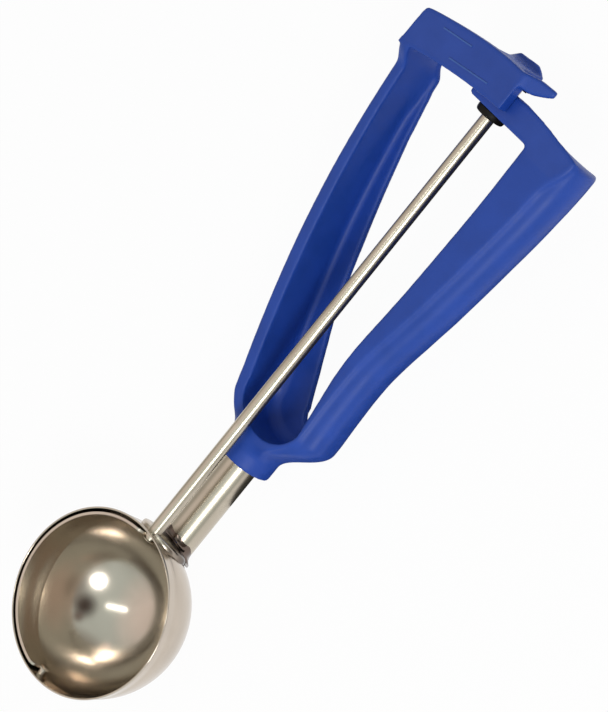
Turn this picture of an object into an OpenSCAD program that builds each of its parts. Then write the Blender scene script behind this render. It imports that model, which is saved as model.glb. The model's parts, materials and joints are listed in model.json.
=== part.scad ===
// Lever ice cream scoop: a hemispherical steel bowl on a tube, a moulded squeeze handle,
// and a scraper blade that a rack, a pinion and a long spindle sweep round the bowl.
// Working frame before placing: the spindle runs along +Y from the centre of the bowl,
// the mouth of the bowl faces +Z, and the squeeze lever is on the -X side.

/* [Bowl] */
// Outer diameter of the hemisphere
bowl_d = 56.8; // [52:0.5:62]
// Thickness of the bowl's sheet
bowl_wall = 0.9; // [0.7:0.1:1.2]
// Height of the rim above the spindle's axis
collar_h = 3.9; // [3.5:0.1:6]
// How far the rim stands outside the hemisphere
rim_flare = 0.6; // [0.3:0.1:1]

/* [Scraper blade] */
// Width of the blade at the middle of its arc
blade_w = 10.5; // [8:0.5:13]
// Width of the blade at its two pivots
blade_end_w = 6.4; // [5.4:0.2:7]
// Thickness of the blade
blade_t = 0.9; // [0.6:0.1:1.2]
// Gap between the blade and the bowl
blade_gap = 0.35; // [0.3:0.05:0.6]
// Angle that the blade sweeps
blade_sweep = 165; // [120:1:166]
// How far the middle of the resting blade lies below the spindle's axis, in degrees
blade_rest = 6.3; // [5.5:0.1:9]

/* [Spindle] */
// Diameter of the spindle
spindle_d = 4.3; // [3.6:0.1:4.8]
// Diameter of the tenon that carries the blade
tenon_d = 2.8; // [2.2:0.1:3.2]
// Diameter of the riveted heads inside the bowl
head_d = 4.6; // [4:0.1:5.2]
// Height of the riveted heads
head_h = 0.6; // [0.4:0.1:0.9]
// Radial clearance of the turning fits
run_fit = 0.05; // [0.02:0.01:0.09]
// Radial clearance of the pressed and brazed seats
seat_fit = 0.02; // [0.01:0.01:0.04]

/* [Tube] */
// Outer diameter of the shaft tube
tube_d = 11.1; // [9.5:0.1:12.7]
// Wall of the shaft tube
tube_wall = 1; // [0.7:0.1:1.5]
// Depth of the tube's axis below the spindle's axis
tube_drop = 13.8; // [12.6:0.1:15]
// Thickness of the brazed saddle on the bowl
saddle_t = 1.4; // [1:0.1:2]
// Width of the saddle beside the spindle
saddle_w = 18; // [14:0.5:22]
// Height of the tube's foot above the bowl
foot_h = 2.7; // [2.4:0.1:4]

/* [Handle neck] */
// Distance from the bowl's centre to the open end of the neck
neck_y = 60; // [54:0.5:64]
// Outer diameter of the neck
neck_d = 18.4; // [17:0.1:19.4]
// Radius of the round throat between the limbs
throat_r = 11; // [10:0.1:12]
// Distance from the bowl's centre to the bottom of the throat
throat_y = 71.3; // [70:0.1:76]
// Sideways place of the throat's centre
throat_x = 4; // [3:0.1:5]
// Thickness of the web that closes the back of the throat
web_t = 2.2; // [1.8:0.1:3]

/* [Fixed grip] */
// Distance from the bowl's centre to the underside of the cross arm
arm_y = 190.6; // [184:0.1:200]
// Place of the grip's inner edge near the throat
grip_in_low = 14.3; // [13.8:0.1:16]
// Place of the grip's inner edge at the cross arm
grip_in_top = 19.5; // [18:0.1:21]
// Place of the grip's outer edge near the throat
grip_out_low = 22.7; // [22:0.1:26]
// Place of the grip's outer edge at its top
grip_out_top = 36.8; // [34:0.1:39]
// Width of the rounded shoulder beside the flat front of the grip
shoulder_w = 6.4; // [5.5:0.1:7]
// Wall of the grip's channel
grip_wall = 2.8; // [2:0.1:3.4]
// Width of the flat strip on the back of the grip
back_flat = 2; // [1.5:0.1:4]

/* [Squeeze lever] */
// Radius of the rounded root that the lever turns on
root_r = 2.3; // [2:0.1:2.6]
// Outermost place of the lever's back, to the left of the spindle
lever_out = 34; // [32:0.1:37]
// Width of the lever's front edge
rim_w = 4; // [3:0.1:5]
// Thickness of the lever's back flange
flange_t = 2.6; // [2:0.1:3.4]
// Radius of the hollow's inner corner
hollow_r = 4; // [2.5:0.1:5]
// Gap between the lever and the fixed part of the handle
flex_gap = 0.3; // [0.25:0.05:0.5]

/* [Cross arm and strap] */
// Height of the cross arm at its middle
arm_h = 8.3; // [8:0.1:10]
// Thickness of the cross arm's front plate
arm_t = 3; // [2.6:0.1:3.2]
// Height of the front of the handle above the spindle's axis
front_z = 5.6; // [5.4:0.1:6.4]
// Thickness of the strap
strap_t = 4.1; // [3:0.1:5]
// Height of the strap at its right end
strap_h = 13.2; // [12:0.1:14]
// Place of the strap's right end
strap_end = 7; // [5:0.1:8]
// Reach of the thumb lip beyond the end of the strap
lip_reach = 9.6; // [9:0.1:13]
// Angle at which the grip's upper end falls away towards the back
end_slope = 14; // [10:1:25]
// Sliding gap between the strap and the cross arm
slide_gap = 0.3; // [0.25:0.05:0.5]
// Height of the two raised lines on the strap
line_h = 0.25; // [0.15:0.05:0.4]

/* [Rack and pinion] */
// Number of teeth on the pinion
pinion_teeth = 10; // [10:1:11]
// Tooth module
gear_module = 0.8; // [0.75:0.01:0.8]
// Height of the pinion's teeth along the spindle
pinion_h = 2.4; // [2:0.1:2.8]
// Backlash on each side of a tooth
backlash = 0.12; // [0.08:0.01:0.2]
// Diameter of the flange of the bearing bush
bush_d = 9.6; // [9:0.1:10]
// Thickness of the flange of the bearing bush
bush_flange = 2.4; // [1.8:0.1:3]

/* [Hidden] */

$fn = 96;
eps = 0.01;

blue = [0.17, 0.31, 0.63];
steel = [0.78, 0.76, 0.71];
black = [0.08, 0.08, 0.07];

bowl_r = bowl_d / 2;
bowl_in_r = bowl_r - bowl_wall;
rim_r = bowl_r + rim_flare;
spindle_r = spindle_d / 2;
tube_r = tube_d / 2;
neck_r = neck_d / 2;

// Scraper blade and its pivots
blade_out_r = bowl_in_r - blade_gap;
blade_in_r = blade_out_r - blade_t;
shoulder_y = sqrt(pow(blade_out_r, 2) - pow(tenon_d / 2, 2)) + seat_fit;
head_y = blade_in_r - seat_fit;

// Tube between the saddle and the neck
saddle_r = bowl_r + seat_fit + saddle_t;
tube_end_y = throat_y - 2.4;

// Heights along the spindle at its upper end
arm_top = arm_y + arm_h;
sleeve_top = arm_top - 1.2;
pinion_y = arm_top + 1.6;
pinion_mid = pinion_y + pinion_h / 2;
spindle_end = pinion_y + pinion_h + 0.3;
cover_y = spindle_end + 0.45;

// Root of the lever, which is the axis of the squeeze
root_x = throat_x - 12.6;
root_y = throat_y + 5.7;
root = [root_x, root_y];
lever_y = root_y + root_r + 0.4;
lever_top = arm_y - 2.6;
grip_y = root_y + 7.2;

// Front and back of the handle at height y
slope_y = throat_y + 6.7;
throat_front = -3;
throat_back = -21.2;
function ramp(y, from, to) = min(1, max(0, (y - from) / (to - from)));
function ease(t) = t * t * (3 - 2 * t);
function mix(a, b, t) = a + (b - a) * t;
function front_at(y) = mix(throat_front, front_z, ramp(y, slope_y, lever_top));
web_front = throat_back + web_t;
function lever_back_at(y) =
    mix(throat_back, throat_back + 10.2, ramp(y, slope_y + 15, lever_top))
    + (web_t + flex_gap) * ease(ramp(y, grip_y + 20, grip_y + 2));

// Edges of the fixed grip at height y
grip_span = arm_y - grip_y;
function grip_in_at(y) =
    mix(grip_in_low, grip_in_top, ease(ramp(y, grip_y + 0.2 * grip_span, arm_y - 5)));
function grip_out_at(y) =
    mix(grip_out_low, grip_out_top, ease(ramp(y, grip_y + 0.05 * grip_span, arm_y + 4)));
function crease_at(y) =
    grip_out_at(y) - shoulder_w + 4.2 * ease(ramp(y, arm_y - 8, arm_y + 5));
head_cut_y = arm_y + 3;
function grip_back_at(y) = mix(throat_back, throat_back + 5, ramp(y, grip_y, arm_top));

// Edges of the squeeze lever at height y
lever_low = 12.8;
function lever_out_at(y) =
    -mix(lever_low, lever_out, 1 - pow(1 - ramp(y, lever_y, lever_top), 1.75));
function flange_w_at(y) =
    5.6 + 4.2 * ramp(y, lever_top, slope_y + 42) + 8.5 * pow(ramp(y, slope_y + 36, slope_y + 2), 1.2);

// Pinion and rack
pitch_r = pinion_teeth * gear_module / 2;
addendum = 0.77 * gear_module;
rack_addendum = 0.84 * gear_module;
tip_gap = 0.2 * gear_module;
pressure = 25;
pitch = PI * gear_module;
travel = pitch_r * blade_sweep * PI / 180;
drive_r = pinion_mid - root_y;
tooth_angle = 360 / pinion_teeth * pitch_r / drive_r;
rack_first = 0;
rack_last = ceil(travel / pitch);
rack_root_z = -pitch_r - addendum - tip_gap;
rack_back_z = rack_root_z - 2.2;
cover_r = norm([root_x, cover_y - root_y]);
rack_low_r = norm([root_x, pinion_y - 0.4 - root_y]);

// Strap
strap_back = front_z + slide_gap;
strap_front = strap_back + strap_t;
strap_left = -lever_out;
strap_low = lever_top;
strap_top = arm_top + 7.8;
carrier_left = -(rack_last + 0.5) * pitch - 0.5;
carrier_right = pitch / 2 + 0.1;
carrier_wall = 1.6;
carrier_back = rack_back_z - carrier_wall;
roof_left = carrier_left + 4.6;
hump_rise = 1.1;

// The part stands on the back of the bowl, with its origin at the middle of its footprint
x_max = grip_out_at(head_cut_y);
x_min = strap_left;
y_max = strap_top + hump_rise;
y_min = -max(rim_r, bowl_r + head_h);
origin = [-(x_max + x_min) / 2, -(y_max + y_min) / 2, bowl_r];

// ---------- helpers ----------

module placed() translate(origin) children();

// Shape drawn in the X-Z plane and pulled from y0 to y1
module along_y(y0, y1) translate([0, y1, 0]) rotate([90, 0, 0]) linear_extrude(y1 - y0) children();

// Cylinder along the spindle's direction, at depth z
module rod(r, y0, y1, z = 0, x = 0) translate([x, y0, z]) rotate([-90, 0, 0]) cylinder(r = r, h = y1 - y0);

// Shape drawn in the X-Y plane and pulled from z0 to z1
module along_z(z0, z1) translate([0, 0, z0]) linear_extrude(z1 - z0) children();

// Solid skinned over rings that have equal, even numbers of points. Each ring runs clockwise as
// seen from the bowl; its second half comes back beside its first half, so the ends are strips.
module skin(rings) {
    n = len(rings[0]);
    m = len(rings);
    top = (m - 1) * n;
    sides = [for (i = [0 : m - 2], j = [0 : n - 1])
        let (k = (j + 1) % n, a = i * n + j, b = i * n + k) each [[a, b + n, b], [a, a + n, b + n]]];
    ends = [for (j = [0 : n / 2 - 2]) let (a = j + 1, b = n - 1 - j)
        each [[j, a, b], [a, b - 1, b], [top + j, top + b, top + a], [top + a, top + b, top + b - 1]]];
    polyhedron(points = [for (ring = rings) each ring], faces = concat(sides, ends), convexity = 8);
}

// Points of a curve with one control point
function bend(p0, p1, p2, n = 8) =
    [for (i = [0 : n]) let (t = i / n) p0 * pow(1 - t, 2) + p1 * 2 * t * (1 - t) + p2 * t * t];

// Points of an ellipse's arc
function arc(c, rx, rz, a0, a1, n = 6) =
    [for (i = [0 : n]) let (a = mix(a0, a1, i / n)) [c[0] + rx * cos(a), c[1] + rz * sin(a)]];

function lifted(points, y) = [for (p = points) [p[0], y, p[1]]];

// ---------- steel parts ----------

module bowl() color(steel) placed() difference() {
    rotate_extrude() bowl_profile();
    rod(spindle_r + run_fit, 0, bowl_r + 5);
    rod(tenon_d / 2 + seat_fit, -bowl_r - 5, 0);
}

module bowl_profile() {
    difference() {
        circle(r = bowl_r);
        circle(r = bowl_in_r);
        translate([-bowl_r - 1, 0]) square([2 * bowl_r + 2, bowl_r + 1]);
        translate([-bowl_r - 1, -bowl_r - 1]) square([bowl_r + 1, 2 * bowl_r + 2]);
    }
    polygon([[bowl_in_r, 0], [bowl_r, 0], [rim_r, collar_h - bowl_wall / 2],
             [rim_r - bowl_wall, collar_h - bowl_wall / 2]]);
    translate([rim_r - bowl_wall / 2, collar_h - bowl_wall / 2]) circle(d = bowl_wall, $fn = 24);
}

// Band of a sphere, wider at its middle than at its two pivots
module scraper_blade() color(steel) placed() rotate([0, -blade_rest, 0]) difference() {
    intersection() {
        difference() {
            sphere(r = blade_out_r);
            sphere(r = blade_in_r);
        }
        union() {
            along_y(-bowl_r - 1, bowl_r + 1) polygon([
                [0.5, -0.42 * blade_end_w], [-bowl_r, -blade_w / 2 - 0.1],
                [-bowl_r, blade_w / 2 + 0.1], [0.5, 0.42 * blade_end_w]]);
            rod(blade_end_w / 2, -bowl_r, bowl_r);
        }
    }
    rod(tenon_d / 2 + seat_fit, 0, bowl_r);
    rod(tenon_d / 2 + run_fit, -bowl_r, 0);
}

// Long rod with a riveted tenon at the bowl end
module spindle_rod() color(steel) placed() {
    rod(spindle_r, shoulder_y, spindle_end);
    rod(tenon_d / 2, head_y - head_h / 2, shoulder_y + eps);
    rod(head_d / 2, head_y - head_h - 0.1, head_y - 0.1);
}

module blade_pivot_rivet() color(steel) placed() mirror([0, 1, 0]) {
    rod(head_d / 2, head_y - head_h - 0.1, head_y - 0.1);
    rod(tenon_d / 2, head_y - head_h, bowl_r + 0.2);
    difference() {
        rod(head_d / 2, bowl_r + 2 * seat_fit, bowl_r + head_h);
        collar_clearance();
    }
}

// Curved plate brazed to the bowl, which the spindle passes through
module bowl_saddle() color(steel) placed() difference() {
    intersection() {
        rotate_extrude() saddle_profile();
        along_y(0, bowl_r + 5) saddle_outline();
    }
    rod(spindle_r + run_fit, 0, bowl_r + 5);
}

// Wall of the saddle: inside it follows the hemisphere, and above that the flared collar
module saddle_profile() {
    inner = bowl_r + seat_fit;
    top = collar_h - 1;
    flare = inner + rim_flare * top / (collar_h - bowl_wall / 2) + seat_fit;
    low = -tube_drop - tube_r - 2;
    polygon(concat(
        [for (i = [0 : 24]) let (a = mix(asin(low / inner), 0, i / 24)) [inner * cos(a), inner * sin(a)]],
        [[flare, top], [saddle_r, top]],
        [for (i = [24 : -1 : 0]) let (a = mix(asin(low / saddle_r), 0, i / 24))
            [saddle_r * cos(a), saddle_r * sin(a)]]));
}

module saddle_outline() {
    top = collar_h - 1;
    side = saddle_w / 2;
    foot = tube_r + 0.4;
    polygon(concat(
        arc([0, top - side], side, side, 160, 20, 14),
        arc([0, -tube_drop], foot, foot, -20, -160, 14)));
}

// Space taken by the flared collar of the bowl
module collar_clearance()
    translate([0, 0, -eps]) cylinder(r1 = bowl_r + seat_fit, r2 = rim_r + 2 * seat_fit, h = collar_h);

module shaft_tube() color(steel) placed() difference() {
    rod(tube_r, 0, tube_end_y, -tube_drop);
    rod(tube_r - tube_wall, -1, tube_end_y + 1, -tube_drop);
    sphere(r = bowl_r + foot_h);
}

// Ring of braze metal between the foot of the tube and the saddle
module braze_ring() color(steel) placed() difference() {
    intersection() {
        rod(tube_r - 0.4, 0, bowl_r + 5, -tube_drop);
        sphere(r = bowl_r + foot_h - seat_fit);
    }
    sphere(r = saddle_r + seat_fit);
    rod(tube_r - tube_wall, -1, bowl_r + 6, -tube_drop);
}

// ---------- fixed part of the handle ----------

module handle_neck() color(blue) placed() difference() {
    union() {
        rod(neck_r, neck_y, throat_y - 4, -tube_drop);
        skin([for (i = [0 : 12]) throat_ring(mix(throat_y - 4.5, grip_y, i / 12))]);
    }
    rod(tube_r + seat_fit, neck_y - 1, tube_end_y + seat_fit, -tube_drop);
    along_z(web_front, front_z) {
        throat_shape();
        lever_space();
    }
}

// Closed section of the throat, which turns from the round neck into the width of both limbs.
// Its front comes forward first, then its right side spreads, and its left side last.
function throat_ring(y) = let (
        right = ease(ramp(y, throat_y - 6.3, throat_y + 8.7)),
        left = ease(ramp(y, throat_y - 1.8, throat_y + 7.2)),
        rise = ease(ramp(y, throat_y - 7, throat_y + 0.2)), r = neck_r + 0.05)
    lifted([for (p = throat_outline(y))
        let (a = atan2(p[1] + 14, p[0] - 1), spread = mix(right, left, ramp(p[0], 6, -6)),
             t = mix(spread, rise, ramp(p[1], -12, -5)))
        [mix(r * cos(a), p[0], spread), mix(r * sin(a) - tube_drop, p[1], t)]], y);

// Outline that the throat reaches where the limbs part
function throat_outline(y) = let (
        xl = -lever_low, xr = crease_at(y), zf = front_at(y), zb = throat_back,
        side = grip_outside(y))
    concat([for (i = [0 : 7]) [mix(xl + 1.2, xr - 2, i / 7), zf]],
           [for (i = [3 : len(side) - 2]) side[i]],
           [for (i = [1 : 6]) [mix(grip_in_low + back_flat, xl + 3.5, i / 7), zb]],
           arc([xl + 3.5, zb + 3.5], 3.5, 3.5, 270, 180, 4),
           [for (z = [-14, -10, -6.5, zf - 1.2]) [xl, z]], [[xl + 0.35, zf - 0.35]]);

module throat_shape() {
    centre_y = throat_y + throat_r;
    translate([throat_x, centre_y]) circle(r = throat_r);
    translate([throat_x - throat_r, centre_y]) square([2 * throat_r, 20]);
    translate([-20, centre_y - 4]) square([20 + throat_x, 30]);
}

// Room for the lever's round root, and for all that swings above it
module lever_space() {
    translate(root) circle(r = root_r + flex_gap);
    translate([root_x - 20, root_y]) square([20 + throat_x - root_x, 30]);
}

module fixed_grip() color(blue) placed() skin([for (i = [0 : 26])
    let (y = mix(grip_y, arm_y + 2, i / 26)) lifted(concat(grip_outside(y), grip_inside(y)), y)]);

// Grip's outer outline at height y, from its front inner edge round to its back inner edge
function grip_outside(y) = let (
        xi = grip_in_at(y), xo = grip_out_at(y), xc = crease_at(y), xa = xi + back_flat,
        zf = front_at(y), zb = grip_back_at(y), zm = mix(zf, zb, 0.36))
    concat([[xi, zf - 1], [xi + 0.3, zf - 0.3], [xi + 1, zf]],
           [[xc, zf], [xc + 0.5, zf - 0.15], [xc + 1, zf - 0.8]],
           arc([xc + 1, zm], xo - xc - 1, zf - zm - 1.4, 80, 10, 5),
           arc([xa, zm], xo - xa, zm - zb, 0, -90, 8), [[xi, zb]]);

// Outline of the grip's channel, from the back flange round to the front flange
function grip_inside(y) = let (
        xi = grip_in_at(y), xo = grip_out_at(y), xc = crease_at(y), xa = xi + back_flat,
        zf = front_at(y), zb = grip_back_at(y), zm = mix(zf, zb, 0.36), w = grip_wall)
    concat([[xi + 0.4, zb + w]], arc([xa, zm], xo - xa - w, zm - zb - w, -90, 0, 8),
           arc([xc - 1, zm], xo - xc + 1 - w, zf - zm - w, 15, 90, 5),
           [for (t = [0 : 5]) [mix(xc - 1.5, xi, t / 5), zf - w]]);

// Solid head of the grip above the open channel
module grip_end_wall() color(blue) placed() intersection() {
    along_y(arm_y + 2, arm_top + 1) polygon(grip_outside(head_cut_y));
    along_z(throat_back, strap_front + 1) arm_circle();
    end_slab(arm_top, front_z);
}

// Room below a plane that falls away towards the back from height y at depth z
module end_slab(y, z)
    translate([-60, y, z]) rotate([-end_slope, 0, 0]) translate([0, -60, -60]) cube([120, 60, 80]);

// Round top of the cross arm and of the grip's head
module arm_circle() {
    arm_r = 92;
    translate([throat_x + 6.5, arm_top - arm_r + 0.2]) circle(r = arm_r, $fn = 180);
}

module cross_arm() color(blue) placed() difference() {
    along_z(front_z - arm_t, front_z) arm_outline();
    rod(spindle_r + 1 + seat_fit, arm_y - 1, arm_top + 1);
}

module arm_outline() {
    corner = 2;
    intersection() {
        arm_circle();
        difference() {
            translate([-7.3, arm_y]) square([grip_in_top + 7.3 - 0.05, arm_h + 1]);
            translate([-7.3, arm_y]) edge_round(1.2, 0);
        }
    }
    translate([grip_in_top - 0.05, arm_y]) edge_fillet(corner);
}

module edge_round(r, turn) rotate(turn) difference() {
    translate([-1, -1]) square(r + 1);
    translate([r, r]) circle(r = r, $fn = 32);
}

module edge_fillet(r) difference() {
    translate([-r, -r]) square([r, r + eps]);
    translate([-r, -r]) circle(r = r, $fn = 32);
}

// Boss behind the cross arm, which holds the bearing bush
module spindle_boss() color(blue) placed() difference() {
    union() {
        rod(bush_d / 2 - 0.2, arm_y, arm_top - 1.6);
        translate([-bush_d / 2 - 1.5, arm_y, -1]) cube([bush_d + 3, arm_h - 2.4, front_z - arm_t + 1]);
    }
    rod(spindle_r + 1 + seat_fit, arm_y - 1, arm_top + 1);
    along_z(front_z - arm_t, front_z) square([bush_d + 3, 2 * arm_top], center = true);
}

// Black bush: its flange shows under the arm and its sleeve lines the boss
module bearing_bush() color(black) placed() difference() {
    union() {
        rod(spindle_r + 1, arm_y - 0.2, sleeve_top);
        rod(bush_d / 2, arm_y - bush_flange + 0.7, arm_y - seat_fit);
        translate([0, arm_y - bush_flange, 0]) rotate([-90, 0, 0])
            cylinder(r1 = bush_d / 2 - 0.7, r2 = bush_d / 2, h = 0.7 + eps);
    }
    rod(spindle_r + run_fit, arm_y - bush_flange - 1, arm_top + 1);
}

module spacer_sleeve() color(steel) placed() difference() {
    rod(spindle_r + 0.7, sleeve_top + 0.02, pinion_y - 0.02);
    rod(spindle_r + seat_fit, sleeve_top - 1, pinion_y + 1);
}

// ---------- rack and pinion ----------

function involute(base, a) = [base * (cos(a) + a * PI / 180 * sin(a)), base * (sin(a) - a * PI / 180 * cos(a))];
function turned(p, a) = [p[0] * cos(a) - p[1] * sin(a), p[0] * sin(a) + p[1] * cos(a)];

// Involute tooth whose middle lies along +X
module pinion_tooth() {
    base = pitch_r * cos(pressure);
    tip = pitch_r + addendum;
    flank_end = acos(base / tip);
    roll_tip = tan(flank_end) * 180 / PI;
    roll_pitch = tan(pressure) * 180 / PI;
    half = 90 / pinion_teeth - backlash / 2 / pitch_r * 180 / PI;
    lean = half + roll_pitch - pressure;
    flank = [for (i = [0 : 5]) turned(involute(base, roll_tip * i / 5), -lean)];
    root_p = turned([pitch_r - rack_addendum - tip_gap - 0.1, 0], -lean);
    polygon(concat([root_p], flank, [for (i = [5 : -1 : 0]) [flank[i][0], -flank[i][1]]],
                   [[root_p[0], -root_p[1]]]));
}

// At rest a space between two teeth faces the rack
module pinion() color(black) placed() difference() {
    along_y(pinion_y, pinion_y + pinion_h) {
        circle(r = pitch_r - rack_addendum - tip_gap);
        for (i = [0 : pinion_teeth - 1]) rotate(-90 + (i + 0.5) * 360 / pinion_teeth) pinion_tooth();
    }
    rod(spindle_r + seat_fit, pinion_y - 1, pinion_y + pinion_h + 1);
}

// Each tooth is laid along the spindle at the moment when it faces the pinion
module gear_rack() color(blue) placed() {
    along_z(rack_back_z, rack_root_z) rack_band(rack_low_r, cover_r - 0.02);
    for (i = [rack_first : rack_last])
        translate([root_x, root_y, 0]) rotate([0, 0, i * tooth_angle]) translate([-root_x, -root_y, 0])
            along_y(pinion_y - 0.1, cover_y - 0.35) rack_tooth();
}

module rack_tooth() {
    rise = addendum + rack_addendum + tip_gap;
    sunk = 0.6;
    foot = pitch / 4 - backlash / 2 + (addendum + tip_gap + sunk) * tan(pressure);
    tip = pitch / 4 - backlash / 2 - rack_addendum * tan(pressure);
    polygon([[-foot, rack_root_z - sunk], [foot, rack_root_z - sunk],
             [tip, rack_root_z + rise], [-tip, rack_root_z + rise]]);
}

// Strip between two radii about the lever's root
module rack_band(r0, r1) intersection() {
    translate(root) difference() {
        circle(r = r1, $fn = 360);
        circle(r = r0, $fn = 360);
    }
    translate([carrier_left, arm_y]) square([carrier_right - carrier_left, 30]);
}

// Bridge over the pinion, and the raised back wall that carries the rack
module rack_carrier() color(blue) placed() {
    along_z(rack_back_z, strap_back) intersection() {
        translate([carrier_left, arm_y]) square([carrier_right - carrier_left, 40]);
        difference() {
            polygon(concat([[roof_left, cover_y - 4], [carrier_right, cover_y - 4]],
                           bend([carrier_right, cover_y + 2.2], [roof_left / 2, cover_y + 1.8],
                                [roof_left, cover_y + 1.4])));
            translate(root) circle(r = cover_r, $fn = 360);
        }
    }
    along_z(carrier_back, rack_back_z) polygon([
        [carrier_left, arm_top + 1], [carrier_right, arm_top + 1], [carrier_right, strap_top - 1.4],
        [carrier_right - 0.4, strap_top - 0.8], [carrier_right - 2.1, strap_top + 0.3],
        [carrier_right - 3.8, strap_top + hump_rise], [carrier_left + 4.6, strap_top + 0.3],
        [carrier_left + 1.9, strap_top - 2.5], [carrier_left, cover_y - 1]]);
}

// ---------- squeeze lever and strap ----------

// Round root in the seat of the neck, and the block that joins it to the lever
module lever_root() color(blue) placed() {
    along_z(web_front + flex_gap, throat_front) {
        translate(root) circle(r = root_r);
        polygon([[-lever_low, lever_y], [0.4 - lever_low, root_y + flex_gap], [root_x, root_y + flex_gap],
                 [root_x + root_r, root_y], [rim_w + 1.5 - lever_low, lever_y]]);
    }
}

module squeeze_lever() color(blue) placed()
    skin([for (i = [0 : 30]) lever_ring(mix(lever_y, lever_top, i / 30))]);

// Outer wall with a flange at the back and a rounded hollow between them
function lever_ring(y) = let (
        xo = lever_out_at(y), zf = front_at(y), zb = lever_back_at(y),
        w = rim_w, xf = xo + flange_w_at(y), f = flange_t,
        r = min(hollow_r, xf - xo - w - 0.6))
    lifted(concat(
        [[xf, zb + 0.6], [xf - 0.6, zb]],
        arc([xo + 3.5, zb + 3.5], 3.5, 3.5, 270, 180, 6),
        [[xo, zf - 1.2], [xo + 0.35, zf - 0.35], [xo + 1.2, zf]],
        [[xo + w - 0.7, zf], [xo + w - 0.2, zf - 0.2], [xo + w, zf - 0.7]],
        arc([xo + w + r, zb + f + r], r, r, 180, 270, 6),
        [[xf - 0.6, zb + f], [xf, zb + f - 0.6]]), y);

// Front plate of the strap, and its block on top of the lever
module strap() color(blue) placed() {
    along_z(strap_back, strap_front) strap_outline();
    block_w = flange_w_at(lever_top) + 0.6;
    intersection() {
        along_z(lever_back_at(lever_top), strap_back) intersection() {
            strap_outline();
            translate([strap_left, strap_low]) square([block_w, 30]);
        }
        end_slab(strap_top - 4, strap_back);
    }
    strap_lines();
}

module strap_outline() polygon(concat(
    bend([strap_left, strap_low], [-14, strap_top - strap_h - 0.7], [strap_end, strap_top - strap_h]),
    bend([strap_end, strap_top - 0.8], [-6, strap_top + 0.3], [strap_left + 2.6, strap_top - 5.4]),
    [[strap_left + 1, strap_top - 5.9], [strap_left + 0.2, strap_top - 6.8]]));

// Two thin raised lines, one near each edge of the front
module strap_lines() {
    slope = 8.2;
    for (line = [[strap_left + 9.6, arm_y + 8.7, 11.7], [strap_left + 17.4, arm_y + 3.5, 15.7]])
        translate([line[0], line[1], strap_front - eps]) rotate(slope)
            cube([line[2], 0.45, line_h + eps]);
}

// Horn that lifts away from the end of the strap
module thumb_lip() color(blue) placed() along_z(strap_back, strap_front) polygon(concat(
    bend([strap_end, strap_top - 0.8], [strap_end + 0.5 * lip_reach, strap_top + 1.3],
         [strap_end + lip_reach, strap_top + 0.9], 6),
    bend([strap_end + lip_reach, strap_top - 0.8],
         [strap_end + 0.5 * lip_reach, strap_top - 4], [strap_end, strap_top - 5.8], 6)));

// ---------- assembly ----------

bowl();
scraper_blade();
spindle_rod();
blade_pivot_rivet();
bowl_saddle();
braze_ring();
shaft_tube();
handle_neck();
fixed_grip();
grip_end_wall();
cross_arm();
spindle_boss();
bearing_bush();
spacer_sleeve();
pinion();
lever_root();
squeeze_lever();
strap();
thumb_lip();
rack_carrier();
gear_rack();
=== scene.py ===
"""Lever ice cream scoop: the finished look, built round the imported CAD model.

Sizes are in millimetres in the scoop's working frame: the spindle runs along +Y from the
centre of the bowl, the mouth of the bowl faces +Z, and the squeeze lever is on the -X side.
"""

import json
import logging
import math
from dataclasses import dataclass, field, replace
from enum import Enum
from typing import Callable, Sequence

import bpy
import numpy as np
from mathutils import Matrix, Vector

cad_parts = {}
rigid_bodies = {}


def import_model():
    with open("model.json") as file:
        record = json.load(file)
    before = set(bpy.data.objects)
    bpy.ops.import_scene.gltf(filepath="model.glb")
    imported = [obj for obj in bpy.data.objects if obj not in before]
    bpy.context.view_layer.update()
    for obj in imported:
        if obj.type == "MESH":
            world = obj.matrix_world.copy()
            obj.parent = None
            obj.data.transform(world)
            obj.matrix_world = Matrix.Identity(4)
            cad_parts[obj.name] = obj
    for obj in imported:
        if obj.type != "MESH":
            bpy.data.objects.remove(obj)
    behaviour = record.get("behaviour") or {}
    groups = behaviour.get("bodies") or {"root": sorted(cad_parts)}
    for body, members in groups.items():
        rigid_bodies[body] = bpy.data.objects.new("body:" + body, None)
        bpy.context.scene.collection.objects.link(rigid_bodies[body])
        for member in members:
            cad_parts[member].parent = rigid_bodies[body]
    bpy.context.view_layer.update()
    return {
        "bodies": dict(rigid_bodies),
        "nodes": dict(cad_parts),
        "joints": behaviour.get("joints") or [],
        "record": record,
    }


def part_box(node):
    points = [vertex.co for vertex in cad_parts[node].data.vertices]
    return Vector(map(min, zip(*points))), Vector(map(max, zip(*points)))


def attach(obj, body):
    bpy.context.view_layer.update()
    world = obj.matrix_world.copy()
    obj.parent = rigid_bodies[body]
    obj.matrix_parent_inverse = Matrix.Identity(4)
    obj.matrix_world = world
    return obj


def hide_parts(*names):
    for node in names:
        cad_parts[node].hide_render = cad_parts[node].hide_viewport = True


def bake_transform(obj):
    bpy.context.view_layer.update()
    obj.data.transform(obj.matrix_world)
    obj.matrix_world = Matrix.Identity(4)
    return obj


LOG = logging.getLogger("scoop")
MM = 0.001
Point = tuple[float, float, float]
Flat = tuple[float, float]
Trim = tuple[tuple[float, ...], tuple[float, ...]]
Colour = tuple[float, float, float]
Piece = bpy.types.Object
Tree = bpy.types.ShaderNodeTree
Node = bpy.types.ShaderNode
Socket = bpy.types.NodeSocket


# ---------------------------------------------------------------- curves


def ramp(y: float, start: float, end: float) -> float:
    """How far y has gone from start to end, held between 0 and 1."""
    return min(1.0, max(0.0, (y - start) / (end - start)))


def ease(t: float) -> float:
    """A ramp with soft ends."""
    return t * t * (3 - 2 * t)


def mix(a: float, b: float, t: float) -> float:
    """The value t of the way from a to b."""
    return a + (b - a) * t


def line(a: Flat, b: Flat, count: int) -> list[Flat]:
    """Points evenly spaced from a up to, but not with, b."""
    return [(mix(a[0], b[0], i / count), mix(a[1], b[1], i / count)) for i in range(count)]


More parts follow.
